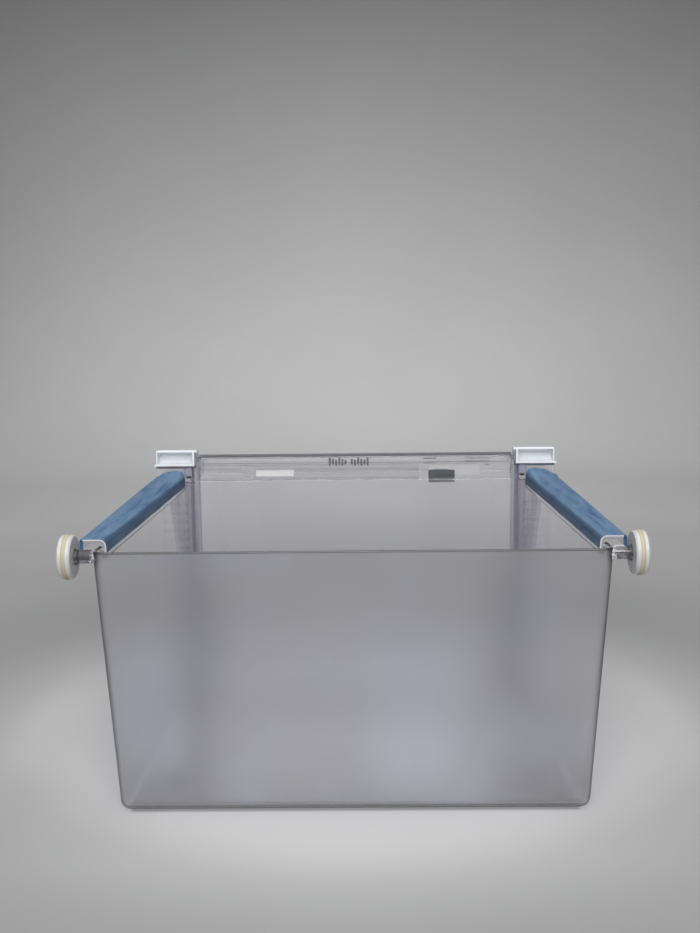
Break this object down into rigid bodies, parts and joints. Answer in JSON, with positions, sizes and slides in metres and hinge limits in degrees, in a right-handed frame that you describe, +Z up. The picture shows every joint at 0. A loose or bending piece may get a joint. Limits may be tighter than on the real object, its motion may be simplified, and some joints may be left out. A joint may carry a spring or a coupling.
{
  "type": "crisper drawer",
  "caption": "Clear refrigerator crisper drawer with a frosted rear wall, side rails, rear rollers, white corner caps and a humidity slider in the handle strip.",
  "frame": {"origin": "on the floor, under the middle of the drawer's bounding box", "axes": "+Z up, front panel towards -Y, rear wall and rollers towards +Y, +X to the right as seen from the front"},
  "size_m": [0.3932, 0.3472, 0.2175],
  "materials": {
    "clear_styrene": "clear, with the rear wall frosted",
    "panel_styrene": "clear",
    "blue_film": "thin wrinkled protective film",
    "white_abs": "satin moulded",
    "beige_tyre": "matt",
    "white_acetal": "satin moulded",
    "white_plate": "matt",
    "grey_knob": "matt, ribbed"
  },
  "bodies": {
    "drawer": {"tub": "clear_styrene", "front_panel": "panel_styrene", "corner_cap_left": "white_abs", "corner_cap_right": "white_abs", "rail_film_left": "blue_film", "rail_film_right": "blue_film", "vent_guide": "panel_styrene"},
    "left_roller": {"roller_left": "white_acetal", "roller_tyre_left": "beige_tyre"},
    "right_roller": {"roller_right": "white_acetal", "roller_tyre_right": "beige_tyre"},
    "humidity_slider": {"humidity_knob": "grey_knob", "vent_shutter": "white_plate", "vent_link": "panel_styrene"}
  },
  "joints": [
    {"name": "left_roller_spin", "type": "hinge", "parent": "drawer", "child": "left_roller", "pos_m": [-0.1921, 0.15815, 0.1838], "axis": [1, 0, 0], "continuous": true},
    {"name": "right_roller_spin", "type": "hinge", "parent": "drawer", "child": "right_roller", "pos_m": [0.1921, 0.15815, 0.1838], "axis": [1, 0, 0], "continuous": true},
    {"name": "humidity_slide", "type": "slide", "parent": "drawer", "child": "humidity_slider", "axis": [-1, 0, 0], "range_m": [0, 0.024]}
  ]
}
